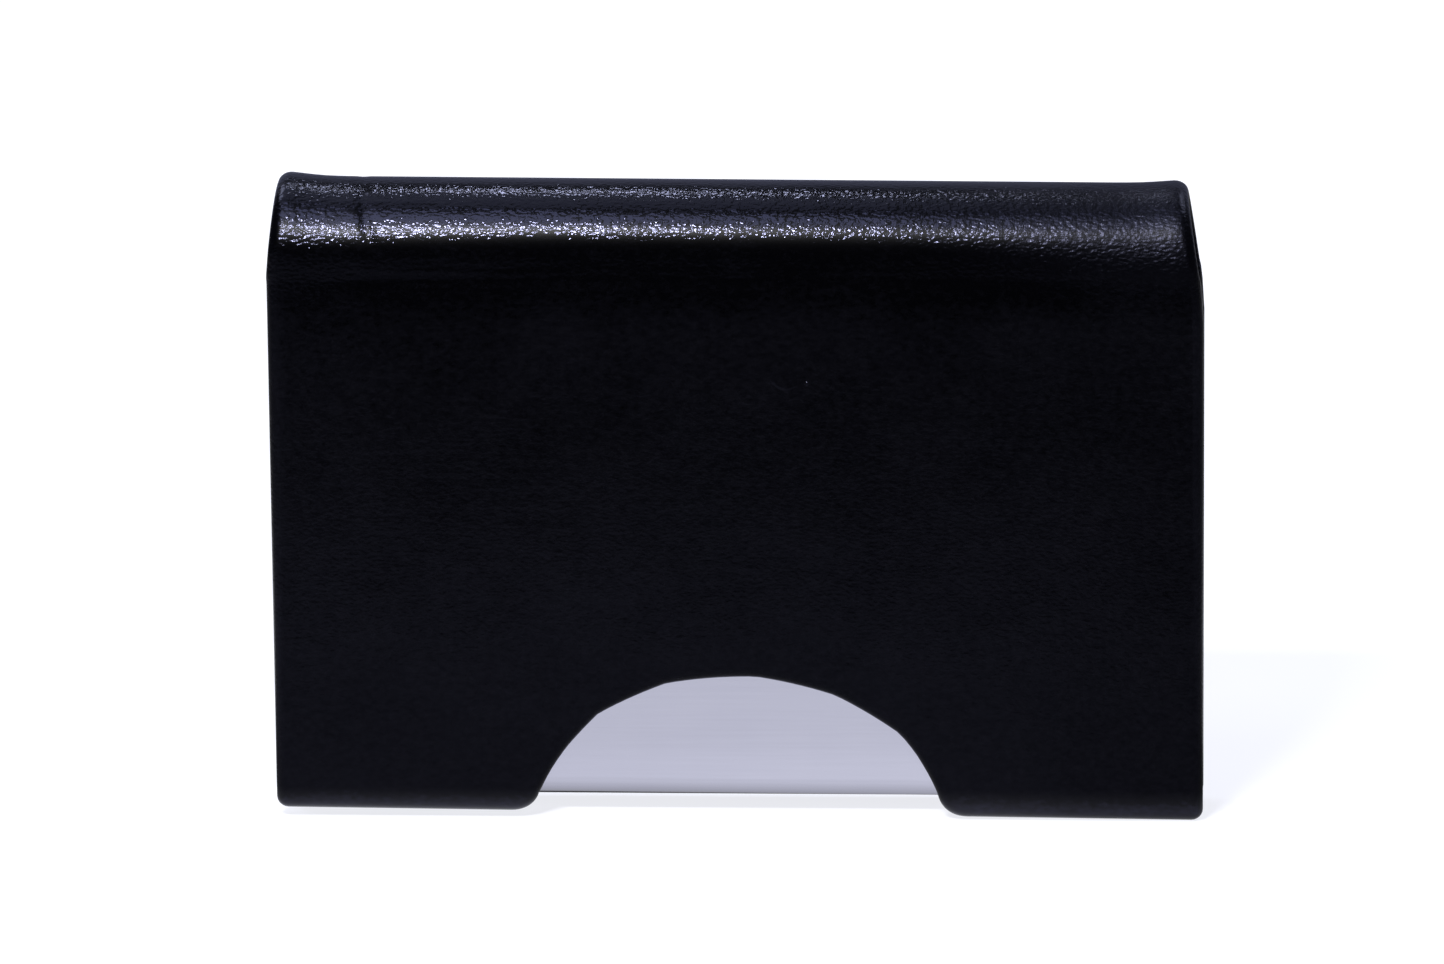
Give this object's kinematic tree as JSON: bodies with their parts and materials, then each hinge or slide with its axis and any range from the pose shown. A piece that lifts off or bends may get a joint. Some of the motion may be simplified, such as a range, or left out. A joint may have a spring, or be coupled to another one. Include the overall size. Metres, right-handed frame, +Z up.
{
  "type": "business card holder",
  "caption": "Flat leather-covered card holder with a rounded spine, a folding front flap with a half-moon thumb notch, and a bent steel card tray inside.",
  "frame": {"origin": "on the standing plane, under the middle of the holder's width and depth", "axes": "+X along the cards' long edge, +Y from the flap to the back cover, +Z up from the foot edges to the spine"},
  "size_m": [0.095, 0.0138, 0.0641],
  "materials": {
    "cover_leather": "black pebbled leather, turned edges, low sheen",
    "cover_board": "grey bookbinding board",
    "lining": "black brushed microfibre",
    "tray_steel": "satin stainless steel sheet",
    "tape": "double-sided foam tape",
    "magnet": "nickel-plated magnet disc"
  },
  "bodies": {
    "case": {"back_skin": "cover_leather", "back_board": "cover_board", "back_lining": "lining", "card_tray": "tray_steel", "tape_left": "tape", "tape_right": "tape"},
    "spine": {"spine_skin": "cover_leather", "spine_strip": "cover_board", "spine_lining": "lining"},
    "flap": {"flap_skin": "cover_leather", "flap_board": "cover_board", "flap_lining": "lining", "magnet_left": "magnet", "magnet_right": "magnet"}
  },
  "joints": [
    {"name": "spine_fold", "type": "hinge", "parent": "case", "child": "spine", "pos_m": [0, 0.0069, 0.0556], "axis": [-1, 0, 0], "range_deg": [0, 90]},
    {"name": "flap_fold", "type": "hinge", "parent": "spine", "child": "flap", "pos_m": [0, -0.0069, 0.0556], "axis": [-1, 0, 0], "range_deg": [0, 120]}
  ]
}
